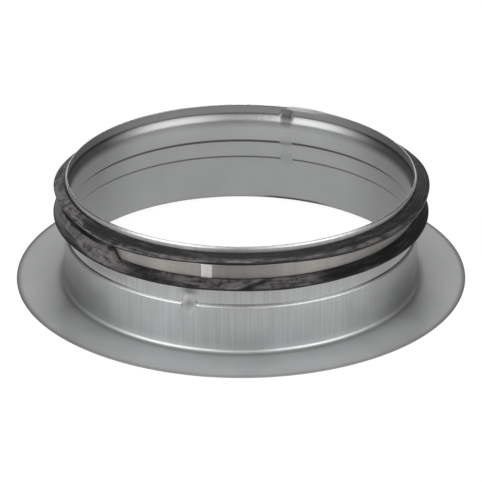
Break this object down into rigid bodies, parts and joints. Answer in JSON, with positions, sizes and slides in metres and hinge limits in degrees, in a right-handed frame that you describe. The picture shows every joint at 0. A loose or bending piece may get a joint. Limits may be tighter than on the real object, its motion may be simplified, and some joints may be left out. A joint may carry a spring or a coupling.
{
  "type": "duct inlet pipe",
  "caption": "Short flanged spigot of pressed galvanised sheet with a double lip rubber seal and steel strap; joins a round duct to a flat wall or plenum.",
  "frame": {"origin": "centre of the pipe on the underside of the flange", "axes": "+Z along the pipe's axis from the flange to the open rim, -Y towards the viewer of the picture, +X to the right"},
  "size_m": [0.3222, 0.3222, 0.0788],
  "materials": {
    "galvanised_sheet": "galvanised, satin, with fine upright drawing marks",
    "seal_rubber": "semi-matt black rubber with soft creases",
    "strap_steel": "rolled steel strip, brushed along its length"
  },
  "bodies": {
    "root": {"collar": "galvanised_sheet", "lip_seal": "seal_rubber", "seal_strap": "strap_steel"}
  },
  "joints": []
}
